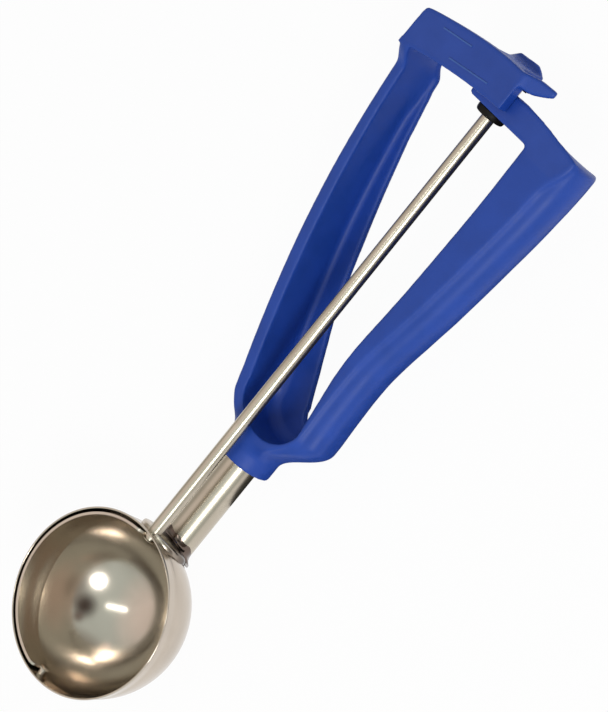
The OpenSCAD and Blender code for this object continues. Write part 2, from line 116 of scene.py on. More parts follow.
def arc(centre: Flat, rx: float, rz: float, start: float, end: float, count: int) -> list[Flat]:
    """Points of an ellipse's arc.

    Args:
        centre: middle of the ellipse.
        rx: half its width.
        rz: half its height.
        start: first angle in degrees.
        end: last angle in degrees.
        count: number of steps.

    Returns:
        count + 1 points, with both ends.
    """
    found = []
    for i in range(count + 1):
        angle = math.radians(mix(start, end, i / count))
        found.append((centre[0] + rx * math.cos(angle), centre[1] + rz * math.sin(angle)))
    return found


def bend(a: Flat, b: Flat, c: Flat, count: int = 10) -> list[Flat]:
    """Points of the curve from a to c that b pulls towards itself.

    Args:
        a: first point.
        b: the point that pulls.
        c: last point.
        count: number of steps.

    Returns:
        count + 1 points, with both ends.
    """
    found = []
    for i in range(count + 1):
        t = i / count
        found.append(tuple(a[k] * (1 - t) ** 2 + 2 * b[k] * t * (1 - t) + c[k] * t * t for k in (0, 1)))
    return found


def level(points: Sequence[Flat], y: float) -> list[Point]:
    """Points of a section in the X-Z plane, set at the height y along the spindle."""
    return [(x, y, z) for x, z in points]


# ---------------------------------------------------------------- bench: making meshes


def deselect() -> None:
    """Leaves edit mode and deselects everything."""
    if bpy.context.object and bpy.context.object.mode != "OBJECT":
        bpy.ops.object.mode_set(mode="OBJECT")
    bpy.ops.object.select_all(action="DESELECT")


def pick(piece: Piece) -> None:
    """Makes piece the only selected object, and the active one.

    Args:
        piece: the object.
    """
    deselect()
    piece.select_set(True)
    bpy.context.view_layer.objects.active = piece


def edit(piece: Piece, select: str = "SELECT") -> None:
    """Opens piece in edit mode with all of it selected, or none of it.

    Args:
        piece: the mesh object.
        select: SELECT or DESELECT.
    """
    pick(piece)
    bpy.ops.object.mode_set(mode="EDIT")
    bpy.ops.mesh.select_mode(type="VERT")
    bpy.ops.mesh.select_all(action=select)


def done() -> None:
    """Goes back to object mode."""
    bpy.ops.object.mode_set(mode="OBJECT")


def apply_modifier(piece: Piece, kind: str, **settings: object) -> None:
    """Adds one modifier to piece and applies it.

    Args:
        piece: the mesh object.
        kind: Blender's type of modifier.
        settings: values of the modifier's properties.
    """
    pick(piece)
    modifier = piece.modifiers.new(kind.lower(), kind)
    for key, value in settings.items():
        setattr(modifier, key, value)
    bpy.ops.object.modifier_apply(modifier=modifier.name)


def smooth(piece: Piece, degrees: float) -> None:
    """Shades piece smooth, with edges sharper than degrees left crisp."""
    pick(piece)
    bpy.ops.object.shade_smooth_by_angle(angle=math.radians(degrees))


def mend(piece: Piece, fill: bool = True) -> Piece:
    """Merges doubles, closes the holes and turns the faces outwards.

    Args:
        piece: the mesh object.
        fill: whether open ends are closed.

    Returns:
        The same object.
    """
    edit(piece)
    bpy.ops.mesh.remove_doubles(threshold=1e-7)
    bpy.ops.mesh.delete_loose()
    bpy.ops.mesh.select_all(action="SELECT")
    if fill:
        bpy.ops.mesh.fill_holes(sides=0)
    bpy.ops.mesh.select_all(action="SELECT")
    bpy.ops.mesh.normals_make_consistent(inside=False)
    done()
    return piece


@dataclass(frozen=True)
class Bench:
    """Makes meshes of points given in millimetres in the working frame, placed in the row frame."""

    origin: Vector

    @classmethod
    def from_bowl(cls, radius: float) -> "Bench":
        """Finds the working frame's origin from the CAD bowl, which stands on its pole.

        Args:
            radius: outer radius of the bowl.

        Returns:
            The bench.
        """
        low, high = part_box("bowl")
        return cls(Vector(((low.x + high.x) / 2, (low.y + high.y) / 2, low.z + radius * MM)))

    def at(self, x: float, y: float, z: float) -> Vector:
        """A working point in the row frame, in metres."""
        return self.origin + Vector((x, y, z)) * MM

    def loft(self, name: str, rings: Sequence[Sequence[Point]], capped: bool = True) -> Piece:
        """Shapes a grid into the surface through rings of equal length.

        Args:
            name: the new object's name.
            rings: closed rings of points.
            capped: whether the two ends are closed.

        Returns:
            The new mesh object.
        """
        columns = len(rings[0]) + 1
        deselect()
        bpy.ops.mesh.primitive_grid_add(x_subdivisions=columns - 1, y_subdivisions=len(rings) - 1, size=MM)
        made = bpy.context.object
        made.name = name
        points = np.array([p for ring in rings for p in [*ring, ring[0]]], float) * MM
        points += np.array(self.origin)
        made.data.vertices.foreach_set("co", points.astype(np.float32).ravel())
        made.data.update()
        return mend(made, fill=capped)

    def turned(self, name: str, profile: Sequence[Flat], steps: int, axis: Point = (0, 1, 0)) -> Piece:
        """Spins a closed profile round an axis through the bowl's centre.

        Args:
            name: the new object's name.
            profile: pairs of radius and distance along the axis.
            steps: number of steps round the circle.
            axis: direction of the axis.

        Returns:
            The new mesh object.
        """
        along = Vector(axis).normalized()
        side = Vector((1, 0, 0)) if abs(along.x) < 0.9 else Vector((0, 1, 0))
        deselect()
        bpy.ops.mesh.primitive_circle_add(vertices=len(profile), radius=MM)
        made = bpy.context.object
        made.name = name
        for vertex, (radius, height) in zip(made.data.vertices, profile):
            vertex.co = self.origin + (side * radius + along * height) * MM
        edit(made)
        bpy.ops.mesh.spin(steps=steps, angle=2 * math.pi, center=self.origin, axis=along)
        done()
        return mend(made, fill=False)

    def slab(self, name: str, outline: Sequence[Flat], levels: Sequence[float]) -> Piece:
        """Pulls an outline in the X-Y plane through the levels of Z.

        Args:
            name: the new object's name.
            outline: closed outline.
            levels: heights of the rings, from low to high.

        Returns:
            The new mesh object.
        """
        return self.loft(name, [[(x, y, z) for x, y in outline] for z in levels])


def copy_node(frame: dict, node: str, name: str) -> Piece:
    """A free copy of a CAD node with its loose triangles merged.

    Args:
        node: the CAD node's name.
        name: the copy's name.

    Returns:
        The new mesh object, which rides on nothing yet.
    """
    source = frame["nodes"][node]
    made = bpy.data.objects.new(name, source.data.copy())
    made.data.materials.clear()
    bpy.context.scene.collection.objects.link(made)
    edit(made)
    bpy.ops.mesh.remove_doubles(threshold=2e-6)
    done()
    return made


def cut(piece: Piece, tool: Piece) -> None:
    """Takes the tool's shape out of piece, and removes the tool."""
    apply_modifier(piece, "BOOLEAN", operation="DIFFERENCE", object=tool, solver="EXACT")
    bpy.data.objects.remove(tool)


def join(name: str, parts: Sequence[Piece]) -> Piece:
    """Makes one object of several, which are used up.

    Args:
        name: the new object's name.
        parts: mesh objects.

    Returns:
        The joined object.
    """
    pick(parts[0])
    for part in parts:
        part.select_set(True)
    bpy.ops.object.join()
    parts[0].name = name
    return parts[0]


def mould(name: str, parts: Sequence[Piece], grain: float, rounds: int) -> Piece:
    """Melts closed, overlapping parts into one skin with soft edges, as a moulding has.

    Args:
        name: the new piece's name.
        parts: closed meshes, which are used up.
        grain: size of the skin's faces in millimetres.
        rounds: how often the skin is smoothed.

    Returns:
        The moulded piece.
    """
    made = join(name, parts)
    apply_modifier(made, "REMESH", mode="VOXEL", voxel_size=grain * MM, adaptivity=0.0)
    apply_modifier(made, "SMOOTH", factor=0.5, iterations=rounds)
    return made


def slice_off(piece: Piece, height: float, upper: bool, inside: Callable[[Vector], bool]) -> None:
    """Cuts off what lies above or below a height, among the vertices that inside accepts.

    Args:
        piece: the mesh object.
        height: place of the cut along Y in the row frame, in metres.
        upper: True takes away the upper part, False the lower.
        inside: says whether a vertex belongs to the part that is cut.
    """
    edit(piece, "DESELECT")
    done()
    for vertex in piece.data.vertices:
        vertex.select = inside(vertex.co)
    bpy.ops.object.mode_set(mode="EDIT")
    bpy.ops.mesh.bisect(plane_co=(0, height, 0), plane_no=(0, 1, 0), use_fill=True,
                        clear_outer=upper, clear_inner=not upper)
    done()


# ---------------------------------------------------------------- finishes


def add(tree: Tree, kind: str, feeds: dict | None = None, values: dict | None = None,
        **settings: object) -> Node:
    """Adds a shader node.

    Args:
        tree: the tree that gets it.
        kind: its type, without the prefix that all shader nodes share.
        feeds: sockets that are linked to its inputs.
        values: constants of its inputs.
        settings: its own properties.

    Returns:
        The new node.
    """
    made = tree.nodes.new(f"ShaderNode{kind}")
    for key, value in settings.items():
        setattr(made, key, value)
    for key, value in (values or {}).items():
        made.inputs[key].default_value = value
    for key, source in (feeds or {}).items():
        tree.links.new(source, made.inputs[key])
    return made


class Effect(Enum):
    """Shared node groups that vary a surface.

    The two rows are the fine relief and the slow clouds, each with the scale, detail and
    distortion of its noise, how far it is drawn out along Y, and its turn in radians.
    """

    GRAIN = ((3000.0, 2.0, 0.0, 1.0, 0.0), (120.0, 3.0, 0.0, 1.0, 0.0))
    WIPE = ((1500.0, 4.0, 0.0, 0.04, 0.12), (60.0, 3.0, 0.6, 1.0, 0.0))

    def lay(self, tree: Tree) -> Node:
        """Adds the effect to a material's tree; the group is built when it is first asked for."""
        return add(tree, "Group", node_tree=bpy.data.node_groups.get(self.name) or self.build())

    def build(self) -> Tree:
        """Builds the group, with the outputs Fine and Slow and the scale of each as an input.

        Returns:
            The group's tree.
        """
        group, labels = bpy.data.node_groups.new(self.name, "ShaderNodeTree"), ("Fine", "Slow")
        kind = "NodeSocketFloat"
        for label, row in zip(labels, self.value):
            made = group.interface.new_socket(name=f"{label} Scale", in_out="INPUT", socket_type=kind)
            made.default_value = row[0]
            group.interface.new_socket(name=label, in_out="OUTPUT", socket_type=kind)
        enter, leave = group.nodes.new("NodeGroupInput"), group.nodes.new("NodeGroupOutput")
        place = add(group, "TexCoord").outputs["Object"]
        for label, (_, detail, distortion, stretch, turn) in zip(labels, self.value):
            lie = {"Scale": (1.0, stretch, 1.0), "Rotation": (0.0, 0.0, turn)}
            drawn = add(group, "Mapping", {"Vector": place}, lie).outputs["Vector"]
            feeds = {"Vector": drawn, "Scale": enter.outputs[f"{label} Scale"]}
            noise = add(group, "TexNoise", feeds, {"Detail": detail, "Distortion": distortion})
            group.links.new(noise.outputs["Fac"], leave.inputs[label])
        return group


def spread(tree: Tree, source: Socket, low: float, high: float,
           start: float = 0.3, end: float = 0.7) -> Socket:
    """Maps a varying value to a range.

    Args:
        tree: the material's tree.
        source: the varying value.
        low: result at start.
        high: result at end.
        start: source value that gives low.
        end: source value that gives high.

    Returns:
        The mapped value's socket.
    """
    limits = {"From Min": start, "From Max": end, "To Min": low, "To Max": high}
    return add(tree, "MapRange", {"Value": source}, limits).outputs["Result"]


def blended(tree: Tree, mask: Socket, first: Socket | Colour, second: Colour) -> Socket:
    """Mixes two colours.

    Args:
        tree: the material's tree.
        mask: 0 for the first colour and 1 for the second.
        first: a colour, or the socket of one that varies.
        second: the other colour.

    Returns:
        The mixed colour's socket.
    """
    node = add(tree, "Mix", {"Factor": mask}, data_type="RGBA")
    node.inputs["B"].default_value = (*second, 1.0)
    if isinstance(first, Socket):
        tree.links.new(first, node.inputs["A"])
    else:
        node.inputs["A"].default_value = (*first, 1.0)
    return node.outputs["Result"]


@dataclass(frozen=True)
class PaintedDarkening:
    """Painted dark reflection round a spot, which darkens the colour there.

    Attributes:
        middle: middle of the darkening in the row frame, in metres.
        inner: radius of the full darkening in millimetres.
        outer: where it ends, in millimetres.
        tone: the dark colour that it paints.
        fray: how far its edge wanders, in millimetres.
    """

    middle: Point
    inner: float = 9.0
    outer: float = 13.5
    tone: Colour = (0.07, 0.05, 0.04)
    fray: float = 1.5

    def over(self, tree: Tree, colour: Socket, cloud: Socket) -> Socket:
        """Lays the painted darkening over a colour.

        Args:
            tree: the material's tree.
            colour: the colour without the darkening.
            cloud: a varying value that frays the edge.

        Returns:
            The stained colour's socket.
        """
        place = add(tree, "TexCoord").outputs["Object"]
        gap = add(tree, "VectorMath", {0: place}, {1: self.middle}, operation="DISTANCE").outputs["Value"]
        wander = spread(tree, cloud, -self.fray * MM, self.fray * MM)
        reach = add(tree, "Math", {0: gap, 1: wander}, operation="ADD").outputs["Value"]
        mask = spread(tree, reach, 1.0, 0.0, self.inner * MM, self.outer * MM)
        return blended(tree, mask, colour, self.tone)


def new_material(name: str) -> tuple[bpy.types.Material, Tree]:
    """A fresh material and its tree.

    Args:
        name: the material's name.

    Returns:
        The material, and its tree with a Principled BSDF.
    """
    made = bpy.data.materials.new(name)
    made.use_nodes = True
    return made, made.node_tree


@dataclass(frozen=True)
class Finish:
    """A procedural finish: a colour with slow clouds, and a fine relief.

    Attributes:
        name: the material's name.
        colour: its main colour.
        shade: the colour of its clouds.
        gloss: roughness in the clouds and outside them.
        relief: share of the relief that shows.
        depth: height of the relief in millimetres.
        fine: scale of the relief.
        shine: share of the usual reflection.
        metal: 1 for a metal.
        effect: where its clouds and its relief come from.
        painted_dark: a painted dark reflection round a spot, if there is one.
    """

    name: str
    colour: Colour
    shade: Colour
    gloss: Flat
    relief: float
    depth: float
    fine: float
    shine: float
    metal: float
    effect: Effect
    painted_dark: PaintedDarkening | None = None

    def make(self) -> bpy.types.Material:
        """Builds the material, or finds it if it is there.

        Returns:
            The material.
        """
        if self.name in bpy.data.materials:
            return bpy.data.materials[self.name]
        made, tree = new_material(self.name)
        shader, marks = tree.nodes["Principled BSDF"], self.effect.lay(tree)
        shader.inputs["Metallic"].default_value = self.metal
        shader.inputs["Specular IOR Level"].default_value = self.shine
        marks.inputs["Fine Scale"].default_value = self.fine
        slow = marks.outputs["Slow"]
        colour = blended(tree, spread(tree, slow, 0.0, 1.0), self.shade, self.colour)
        # Painted dark reflection, where the finish has one.
        if self.painted_dark:
            colour = self.painted_dark.over(tree, colour, slow)
        height = {"Strength": self.relief, "Distance": self.depth * MM}
        bump = add(tree, "Bump", {"Height": marks.outputs["Fine"]}, height)
        rough = spread(tree, slow, *self.gloss)
        for key, source in (("Base Color", colour), ("Roughness", rough), ("Normal", bump.outputs["Normal"])):
            tree.links.new(source, shader.inputs[key])
        return made


@dataclass(frozen=True)
class Nylon(Finish):
    """Filled nylon with a satin, moulded skin."""

    gloss: Flat = (0.4, 0.52)
    relief: float = 0.25
    depth: float = 0.04
    fine: float = 3000.0
    shine: float = 0.36
    metal: float = 0.0
    effect: Effect = Effect.GRAIN


@dataclass(frozen=True)
class Steel(Finish):
    """Bright stainless steel with hair lines and smears from wiping."""

    gloss: Flat = (0.19, 0.11)
    relief: float = 0.05
    depth: float = 0.02
    fine: float = 1500.0
    shine: float = 0.5
    metal: float = 1.0
    effect: Effect = Effect.WIPE


BLUE_NYLON = Nylon("blue_nylon", (0.0115, 0.066, 0.415), (0.009, 0.057, 0.36))
# A lighter blue for the strap's raised lines: a painted highlight along them.
HIGHLIT_NYLON = Nylon("highlit_blue_nylon", (0.045, 0.13, 0.46), (0.03, 0.10, 0.40))
BLACK_NYLON = Nylon("black_nylon", (0.006, 0.0045, 0.003), (0.004, 0.003, 0.002), (0.4, 0.5), 0.15,
                    shine=0.15)
BOWL_STEEL = Steel("bowl_steel", (0.58, 0.505, 0.425), (0.52, 0.452, 0.378), (0.21, 0.14))
ROD_STEEL = Steel("rod_steel", (0.56, 0.50, 0.41), (0.47, 0.415, 0.335), (0.33, 0.27), 0.004, fine=500.0)
# A dark braze tone: partly the braze's own colour, partly painted shade in the crook between tube and saddle.
BRAZE_AND_SHADE = Steel("braze_and_shade_steel", (0.16, 0.12, 0.10), (0.06, 0.045, 0.04), (0.3, 0.12), 0.3)


def dress(piece: Piece, finish: Finish) -> None:
    """Gives piece one finish all over, and reports it.

    Args:
        piece: the mesh object.
        finish: what it is made of.
    """
    piece.data.materials.clear()
    piece.data.materials.append(finish.make())
    LOG.info("%s: %d faces of %s", piece.name, len(piece.data.polygons), finish.name)


def deliver(piece: Piece, degrees: float, finish: Finish, body: str, slot: str, *nodes: str) -> None:
    """Finishes a rigid piece and hands it to the frame.

    Args:
        piece: the mesh object.
        degrees: edges sharper than this stay crisp.
        finish: what it is made of.
        body: the body that it rides on.
        slot: not used.
        nodes: the CAD nodes that it stands for.
    """
    smooth(piece, degrees)
    dress(piece, finish)
    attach(piece, body)
    if nodes:
        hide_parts(*nodes)


# ---------------------------------------------------------------- bowl


# Rings of the saddle: share of its outline, and share of its thickness above the bowl.
SADDLE_RINGS = ((0.02, 1), (0.4, 1), (0.75, 1), (0.9, 0.98), (0.96, 0.86), (0.99, 0.6), (1.0, 0.05),
                (1.0, -0.2), (0.75, -0.2), (0.4, -0.2), (0.02, -0.2))
# Rings of the braze: millimetres out from the tube, and millimetres up from the saddle.
BRAZE_RINGS = ((0.0, 2.6), (0.1, 1.7), (0.35, 1.0), (0.8, 0.45), (1.5, 0.05), (1.5, -0.4), (0.0, -0.4))


@dataclass
class BowlSet:
    """The bowl, its scraper blade, the blade's rivet and the saddle behind the bowl."""

    bench: Bench
    radius: float = 28.4
    wall: float = 0.55
    collar: float = 3.9
    flare: float = 0.6
    lip: float = 0.6
    blade_gap: float = 0.65
    blade_t: float = 0.9
    blade_half: float = 5.5
    blade_ends: Flat = (3.1, 3.8)
    blade_flare: float = 0.6
    blade_rest: float = 3.2
    blade_turn: float = 87.5
    blade_steps: int = 72
    head_r: float = 2.0
    saddle_t: float = 1.4
    saddle_w: float = 18.0
    saddle_heart: float = -7.0
    tube_drop: float = 13.8
    tube_r: float = 5.55

    def build(self) -> None:
        """Builds all of the bowl's pieces."""
        for step in (self.bowl, self.blade, self.rivet, self.saddle, self.braze):
            step()

    def bowl(self) -> None:
        """Spins the hemisphere with its flared collar and rounded rim."""
        inner, lip = self.radius - self.wall, self.lip / 2
        rim_x, rim_z = self.radius + self.flare - lip, self.collar - lip
        profile = arc((0, 0), inner, inner, -90, 0, 40)
        profile += line((inner, 0), (rim_x - lip, rim_z), 6)[1:]
        profile += arc((rim_x, rim_z), lip, lip, 180, 0, 8)
        profile += line((rim_x + lip, rim_z), (self.radius, 0), 6)[1:]
        profile += arc((0, 0), self.radius, self.radius, 0, -90, 40)
        profile[0], profile[-1] = (0.0, profile[0][1]), (0.0, profile[-1][1])
        made = self.bench.turned("bowl_shell", profile, 160, axis=(0, 0, 1))
        deliver(made, 30, BOWL_STEEL, "frame", "polished_steel", "bowl")

    def blade(self) -> None:
        """Shapes the sprung band that lies along the inside of the bowl."""
        outer = self.radius - self.wall - self.blade_gap
        tilt = math.radians(self.blade_rest)
        middle = Vector((-math.cos(tilt), 0, -math.sin(tilt)))
        across = Vector((-math.sin(tilt), 0, math.cos(tilt)))
        section = [*line((-1, 0), (1, 0), 8), (0.99, 0.1), *line((1, 1), (-1, 1), 8), (-0.99, 0.9)]
        rings = []
        for i in range(self.blade_steps + 1):
            turn = math.radians(mix(-self.blade_turn, self.blade_turn, i / self.blade_steps))
            way = middle * math.cos(turn) + Vector((0, math.sin(turn), 0))
            tip = math.sqrt(max(0.02, 1 - ramp(abs(2 * i / self.blade_steps - 1), 0.94, 1.0) ** 2))
            lower, upper = (tip * mix(end, self.blade_half, math.cos(turn)) for end in self.blade_ends)
            ring = []
            for share, depth in section:
                reach = outer - self.blade_t * depth + self.blade_flare * tip * max(0.0, share) ** 2
                lean = (upper if share > 0 else lower) * share / outer
                point = (way * math.cos(lean) + across * math.sin(lean)) * reach
                ring.append(tuple(point))
            rings.append(ring)
        made = self.bench.loft("scraper_band", rings)
        deliver(made, 40, BOWL_STEEL, "spindle", "polished_steel", "scraper_blade")

    def rivet(self) -> None:
        """Turns the rivet at the far side of the bowl, with a domed head on each end."""
        inside = self.radius - self.wall - self.blade_gap - self.blade_t
        head = self.head_r
        profile = [(0.0, inside - 0.75)]
        profile += arc((0, inside - 0.1), head, 0.65, -80, 0, 6)
        profile += [(1.4, inside - 0.1), (1.4, self.radius + 0.05), (head - 0.2, self.radius + 0.05)]
        profile += arc((0, self.radius + 0.1), head, 0.45, 0, 80, 6)
        profile += [(0.0, self.radius + 0.55)]
        made = self.bench.turned("pivot_rivet", profile, 40, axis=(0, -1, 0))
        deliver(made, 35, BOWL_STEEL, "frame", "polished_steel", "blade_pivot_rivet")

    def saddle_edge(self, count: int) -> list[Flat]:
        """The saddle's outline in the X-Z plane, as seen along the spindle.

        Args:
            count: steps of each of its two arcs.

        Returns:
            Pairs of X and Z.
        """
        top = self.collar - 2.3
        side, foot = self.saddle_w / 2, self.tube_r + 0.4
        upper = arc((0, top - side), side, side, 200, -20, count)
        lower = arc((0, -self.tube_drop), foot, foot, -20, -160, count)
        return [(x, min(z, top - 0.02)) for x, z in upper + lower]

    def saddle(self) -> None:
        """Lays the brazed plate on the bowl."""
        edge, heart, rings = self.saddle_edge(24), self.saddle_heart, []
        for share, lift in SADDLE_RINGS:
            ring = []
            for x, z in edge:
                px, pz = share * x, mix(heart, z, share)
                reach = self.radius + max(0.0, pz) * 0.18 + self.saddle_t * lift
                ring.append((px, math.sqrt(max(1.0, reach**2 - px**2 - min(0.0, pz) ** 2)), pz))
            rings.append(ring)
        made = self.bench.loft("saddle_plate", rings)
        # The saddle is darkened round the tube's foot: a painted dark reflection.
        dark_spot = tuple(self.bench.at(2.5, self.radius, -self.tube_drop))
        saddle_finish = replace(BOWL_STEEL, name="painted_dark_steel", gloss=(0.3, 0.12), relief=0.08,
                           painted_dark=PaintedDarkening(dark_spot))
        deliver(made, 50, saddle_finish, "frame", "polished_steel", "bowl_saddle")

    def braze(self) -> None:
        """Lays the uneven fillet of braze round the tube's foot, dark partly with the braze's own tone and
        partly with painted shade.
        """
        rings = []
        for out, up in BRAZE_RINGS:
            ring = []
            for i in range(48):
                turn = 2 * math.pi * i / 48
                wave = 1 + 0.12 * math.sin(3 * turn + 1) + 0.08 * math.sin(7 * turn)
                x = (self.tube_r + out * wave) * math.cos(turn)
                z = -self.tube_drop + (self.tube_r + out * wave) * math.sin(turn)
                reach = self.radius + self.saddle_t
                ring.append((x, math.sqrt(reach**2 - x**2 - z**2) + up * wave, z))
            rings.append(ring)
        made = self.bench.loft("braze_fillet", [*rings, rings[0]], capped=False)
        deliver(made, 60, BRAZE_AND_SHADE, "frame", "polished_steel", "braze_ring")


# ---------------------------------------------------------------- tube, spindle and bearings


@dataclass
class ShaftSet:
    """The tube, the long spindle and what the spindle turns in."""

    bench: Bench
    tube_r: float = 5.55
    tube_wall: float = 1.0
    tube_drop: float = 13.8
    tube_end: float = 68.9
    bowl_r: float = 28.4
    spindle_r: float = 2.15
    spindle_start: float = 27.0
    spindle_end: float = 203.2
    head_r: float = 2.3
    head_drop: float = 2.15
    arm_y: float = 190.6
    bush_r: float = 4.8
    bush_flange: float = 2.4
    sleeve_top: float = 197.7

    def build(self, frame: dict) -> None:
        """Builds the tube, spindle and bush, and dresses the CAD pinion and spacer.
        """
        self.tube()
        self.spindle()
        self.bush()
        for node, finish in (("pinion", BLACK_NYLON), ("spacer_sleeve", ROD_STEEL)):
            dress(frame["nodes"][node], finish)

    def tube(self) -> None:
        """Shapes the tube, whose foot follows the round of the bowl."""
        inner, rings = self.tube_r - self.tube_wall, []
        steps = [(inner, 1), (inner, 0), *((self.tube_r, k / 8) for k in range(9))]
        for radius, share in steps:
            ring = []
            for i in range(72):
                turn = 2 * math.pi * i / 72
                x, z = radius * math.cos(turn), -self.tube_drop + radius * math.sin(turn)
                foot = math.sqrt((self.bowl_r + 0.4) ** 2 - x**2 - z**2)
                ring.append((x, mix(foot, self.tube_end, share), z))
            rings.append(ring)
        made = self.bench.loft("shaft_tube_skin", [*rings, rings[0]], capped=False)
        deliver(made, 40, ROD_STEEL, "frame", "polished_steel", "shaft_tube")

    def spindle(self) -> None:
        """Turns the spindle with its riveted head inside the bowl."""
        head, radius, end = self.head_r - 0.4, self.spindle_r, self.spindle_end
        inside = self.bowl_r - self.head_drop
        profile = [(0.0, inside - 0.75), *arc((0, inside - 0.1), head, 0.65, -80, 0, 6)]
        profile += [(1.4, inside), (1.4, self.spindle_start), (radius, self.spindle_start + 0.1)]
        profile += line((radius, 30), (radius, end - 0.4), 12)
        profile += [(radius, end - 0.4), (radius - 0.4, end), (0.0, end)]
        made = self.bench.turned("spindle_skin", profile, 64)
        deliver(made, 35, ROD_STEEL, "spindle", "polished_steel", "spindle_rod")

    def bush(self) -> None:
        """Turns the black bush with the soft edges of its flange."""
        bore, sleeve, low = self.spindle_r + 0.05, self.spindle_r + 1.0, self.arm_y - self.bush_flange
        flange = self.bush_r
        profile = [(bore, low + 0.25), (bore + 0.25, low), (flange - 0.75, low)]
        profile += arc((flange - 0.75, low + 0.6), 0.6, 0.6, -90, -20, 5)
        profile += [(flange - 0.05, low + 1.0), (flange, low + 1.3)]
        profile += arc((flange - 0.3, self.arm_y - 0.33), 0.3, 0.3, 0, 90, 4)
        profile += [(sleeve, self.arm_y - 0.03), (sleeve, self.sleeve_top), (bore, self.sleeve_top)]
        made = self.bench.turned("bush_skin", profile, 72)
        deliver(made, 40, BLACK_NYLON, "frame", "bearing_plastic", "bearing_bush")


# ---------------------------------------------------------------- handle


@dataclass(frozen=True)
class HandleForm:
    """Sizes and curves of the blue moulding.

    The trims are pairs of heights and the millimetres that an edge swells there.
    """

    neck_y: float = 60.0
    neck_r: float = 9.2
    tube_drop: float = 13.8
    throat_y: float = 71.3
    throat_r: float = 11.0
    throat_x: float = 4.0
    seam_y: float = 84.2
    gap_x: float = 9.5
    flex: float = 16.0
    limb_y: float = 79.7
    limb_top: float = 188.0
    web_t: float = 2.4
    back: float = -21.2
    front_low: float = -3.0
    front_top: float = 5.6
    grip_in_low: float = 14.3
    grip_in_top: float = 19.5
    grip_out_low: float = 22.7
    grip_out_top: float = 36.8
    grip_wall: float = 2.8
    back_flat: float = 2.0
    shoulder_w: float = 6.4
    arm_y: float = 190.6
    arm_top: float = 198.9
    arm_r: float = 92.0
    arm_sink: float = 91.8
    end_y: float = 195.9
    end_r: float = 1.5
    limb_low: float = 12.8
    limb_out: float = 34.0
    limb_curve: float = 1.75
    limb_lean: float = 0.3425
    corner_r: float = 3.5
    flange_w: float = 5.6
    rim_w: float = 4.0
    hollow_r: float = 4.0
    limb_hollow_r: float = 2.0
    strap_top: float = 206.7
    strap_h: float = 13.2
    strap_end: float = 7.0
    strap_back: float = 5.9
    strap_front: float = 10.0
    limb_trim: Trim = ((70, 74, 77, 80.5, 84, 87, 106, 125, 145, 160, 172),
                       (0.7, 0.95, 0.85, 0.78, 0.62, 0.7, 0.75, 0.75, 0.5, 0.18, 0.0))
    flange_trim: Trim = ((84, 90, 96, 102, 108, 120, 132, 144, 156, 162, 168, 174, 180, 186),
                         (0.1, 0.45, 0.95, 1.5, 1.8, 1.95, 2.0, 1.7, 1.4, 1.15, 0.75, 0.0, -0.8, -0.5))
    grip_in_trim: Trim = ((84, 95, 101, 107, 113, 119, 125, 134, 143, 155, 167, 179, 188),
                          (0.6, -0.5, -1.1, -1.25, -1.1, -0.8, -0.5, -0.3, -0.45, -0.75, -1.0, -1.15, -1.0))
    grip_out_trim: Trim = ((84, 95, 101, 109, 118, 124, 136, 148, 160, 178, 190),
                           (-0.2, -0.15, -0.3, -0.5, -0.1, 0.3, 0.7, 0.5, 0.2, 0.25, 0.6))

    def front(self, y: float) -> float:
        """Height of the front face."""
        return mix(self.front_low, self.front_top, ramp(y, self.throat_y + 6.7, self.limb_top))

    def limb_front(self, y: float) -> float:
        """Height of the limb's front edge, which sweeps up to the strap's face."""
        return self.front(y) + 4.2 * ease(ramp(y, self.limb_top - 6.5, self.limb_top + 0.2))

    def arm_edge(self, x: float) -> float:
        """Height of the cross arm's round top."""
        lift = 0.35 + 0.55 * ramp(x, 26, 34)
        return self.arm_top - self.arm_sink + math.sqrt(self.arm_r**2 - (x - self.throat_x - 6.5) ** 2) + lift

    def limb_back(self, y: float) -> float:
        """Height of the limb's back."""
        return mix(self.back, self.back + 10.2, ramp(y, self.throat_y + 21.7, self.limb_top))

    def grip_in(self, y: float) -> float:
        """Place of the grip's inner edge.

        Args:
            y: height along the spindle.

        Returns:
            Its X.
        """
        start = self.seam_y + 0.2 * (self.arm_y - self.seam_y)
        return mix(self.grip_in_low, self.grip_in_top, ease(ramp(y, start, self.arm_y - 5))) + \
            np.interp(y, *self.grip_in_trim)

    def grip_out(self, y: float) -> float:
        """Place of the grip's outer edge.

        Args:
            y: height along the spindle.

        Returns:
            Its X.
        """
        start = self.seam_y + 0.05 * (self.arm_y - self.seam_y)
        return mix(self.grip_out_low, self.grip_out_top, ease(ramp(y, start, self.arm_y + 4))) + \
            np.interp(y, *self.grip_out_trim)

    def crease(self, y: float) -> float:
        """Place of the edge between the flat front and the rounded shoulder."""
        return self.grip_out(y) - self.shoulder_w + 3.4 * ease(ramp(y, self.arm_y - 8, self.arm_y + 5))

    def grip_back(self, y: float) -> float:
        """Height of the grip's back."""
        return mix(self.back, self.back + 5, ramp(y, self.seam_y, self.arm_top))

    def limb_outer(self, y: float) -> float:
        """Place of the limb's outer face.

        Args:
            y: height along the spindle.

        Returns:
            Its X.
        """
        swell = np.interp(y, *self.limb_trim)
        if y < self.limb_y:
            return self.limb_lean * (self.limb_y - y) - self.limb_low - swell
        spread_out = 1 - (1 - ramp(y, self.limb_y, self.limb_top)) ** self.limb_curve
        return -mix(self.limb_low, self.limb_out, spread_out) - swell

    def rim(self, y: float) -> float:
        """Width of the limb's front edge."""
        return self.rim_w + np.interp(y, *self.limb_trim)

    def flange(self, y: float) -> float:
        """Width of the limb's back flange.

        Args:
            y: height along the spindle.

        Returns:
            Its width.
        """
        low = 8.5 * ramp(y, self.throat_y + 42.7, self.throat_y + 8.7) ** 1.2
        top = 1.2 * ramp(y, 165, 178) - 2.5 * ease(ramp(y, self.limb_top - 4.7, self.limb_top - 0.3))
        trim = np.interp(y, *self.flange_trim) + np.interp(y, *self.limb_trim)
        return self.flange_w + 4.2 * ramp(y, self.limb_top, self.throat_y + 48.7) + low + top + trim

